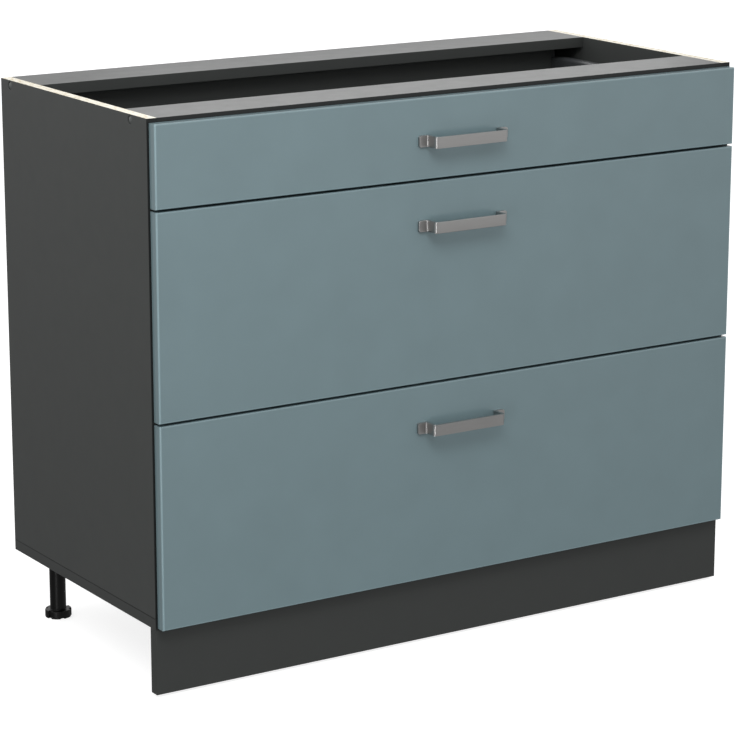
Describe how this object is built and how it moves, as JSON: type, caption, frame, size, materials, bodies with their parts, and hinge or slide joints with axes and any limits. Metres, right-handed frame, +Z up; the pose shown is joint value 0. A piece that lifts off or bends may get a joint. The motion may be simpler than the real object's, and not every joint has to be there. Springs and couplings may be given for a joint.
{
  "type": "base cabinet with drawers",
  "caption": "Wide kitchen base cabinet with an open top, full-width drawers on full-extension runners, bent-strip handles, a plinth board and adjustable feet.",
  "frame": {"origin": "on the floor, under the middle of the whole cabinet, handles included", "axes": "+X to the right along the width, +Y to the rear towards the wall, +Z up; the drawer fronts face -Y"},
  "size_m": [1, 0.4884, 0.82],
  "materials": {
    "anthracite_board": "anthracite melamine-faced chipboard, satin",
    "back_panel": "anthracite foil on hardboard, matt",
    "black_plastic": "moulded black polypropylene",
    "brushed_nickel": "brushed nickel on steel strip",
    "dark_cap": "moulded dark grey plastic",
    "front_lacquer": "blue-grey lacquered board, satin",
    "graphite_steel": "graphite powder coat on sheet steel, satin",
    "plinth_board": "anthracite melamine-faced chipboard, satin",
    "runner_zinc": "zinc-plated steel strip",
    "screw_zinc": "zinc-plated steel",
    "side_board": "anthracite melamine-faced chipboard, satin, raw chipboard on the top edges"
  },
  "bodies": {
    "carcass": {"side_panel_left": "side_board", "side_panel_right": "side_board", "bottom_panel": "anthracite_board", "front_rail": "anthracite_board", "rear_rail": "anthracite_board", "back_panel": "back_panel", "plinth_board": "plinth_board", "plinth_clips": "black_plastic", "leg_sockets": "black_plastic", "screw_caps": "dark_cap", "carcass_screws": "screw_zinc", "top_runner_outer_left": "runner_zinc", "top_runner_outer_right": "runner_zinc", "middle_runner_outer_left": "runner_zinc", "middle_runner_outer_right": "runner_zinc", "bottom_runner_outer_left": "runner_zinc", "bottom_runner_outer_right": "runner_zinc"},
    "top_drawer": {"top_front": "front_lacquer", "top_handle": "brushed_nickel", "top_handle_screws": "screw_zinc", "top_side_left": "graphite_steel", "top_side_right": "graphite_steel", "top_base": "anthracite_board", "top_back": "anthracite_board", "top_brackets": "graphite_steel", "top_runner_inner_left": "runner_zinc", "top_runner_inner_right": "runner_zinc"},
    "top_middle_runners": {"top_runner_middle_left": "runner_zinc", "top_runner_middle_right": "runner_zinc"},
    "middle_drawer": {"middle_front": "front_lacquer", "middle_handle": "brushed_nickel", "middle_handle_screws": "screw_zinc", "middle_side_left": "graphite_steel", "middle_side_right": "graphite_steel", "middle_base": "anthracite_board", "middle_back": "anthracite_board", "middle_brackets": "graphite_steel", "middle_runner_inner_left": "runner_zinc", "middle_runner_inner_right": "runner_zinc", "middle_gallery_rails": "graphite_steel"},
    "middle_middle_runners": {"middle_runner_middle_left": "runner_zinc", "middle_runner_middle_right": "runner_zinc"},
    "bottom_drawer": {"bottom_front": "front_lacquer", "bottom_handle": "brushed_nickel", "bottom_handle_screws": "screw_zinc", "bottom_side_left": "graphite_steel", "bottom_side_right": "graphite_steel", "bottom_base": "anthracite_board", "bottom_back": "anthracite_board", "bottom_brackets": "graphite_steel", "bottom_runner_inner_left": "runner_zinc", "bottom_runner_inner_right": "runner_zinc", "bottom_gallery_rails": "graphite_steel"},
    "bottom_middle_runners": {"bottom_runner_middle_left": "runner_zinc", "bottom_runner_middle_right": "runner_zinc"},
    "foot_front_left": {"foot_front_left": "black_plastic"},
    "foot_front_right": {"foot_front_right": "black_plastic"},
    "foot_rear_left": {"foot_rear_left": "black_plastic"},
    "foot_rear_right": {"foot_rear_right": "black_plastic"}
  },
  "joints": [
    {"name": "top_drawer_slide", "type": "slide", "parent": "carcass", "child": "top_drawer", "axis": [0, -1, 0], "range_m": [0, 0.39]},
    {"name": "top_middle_runner_slide", "type": "slide", "parent": "carcass", "child": "top_middle_runners", "axis": [0, -1, 0], "range_m": [0, 0.195]},
    {"name": "middle_drawer_slide", "type": "slide", "parent": "carcass", "child": "middle_drawer", "axis": [0, -1, 0], "range_m": [0, 0.39]},
    {"name": "middle_middle_runner_slide", "type": "slide", "parent": "carcass", "child": "middle_middle_runners", "axis": [0, -1, 0], "range_m": [0, 0.195]},
    {"name": "bottom_drawer_slide", "type": "slide", "parent": "carcass", "child": "bottom_drawer", "axis": [0, -1, 0], "range_m": [0, 0.39]},
    {"name": "bottom_middle_runner_slide", "type": "slide", "parent": "carcass", "child": "bottom_middle_runners", "axis": [0, -1, 0], "range_m": [0, 0.195]},
    {"name": "foot_front_left_height", "type": "slide", "parent": "carcass", "child": "foot_front_left", "axis": [0, 0, -1], "range_m": [0, 0.015]},
    {"name": "foot_front_right_height", "type": "slide", "parent": "carcass", "child": "foot_front_right", "axis": [0, 0, -1], "range_m": [0, 0.015]},
    {"name": "foot_rear_left_height", "type": "slide", "parent": "carcass", "child": "foot_rear_left", "axis": [0, 0, -1], "range_m": [0, 0.015]},
    {"name": "foot_rear_right_height", "type": "slide", "parent": "carcass", "child": "foot_rear_right", "axis": [0, 0, -1], "range_m": [0, 0.015]}
  ],
  "couplings": [
    {"joint": "top_middle_runner_slide", "follows": "top_drawer_slide", "ratio": 0.5},
    {"joint": "middle_middle_runner_slide", "follows": "middle_drawer_slide", "ratio": 0.5},
    {"joint": "bottom_middle_runner_slide", "follows": "bottom_drawer_slide", "ratio": 0.5}
  ]
}
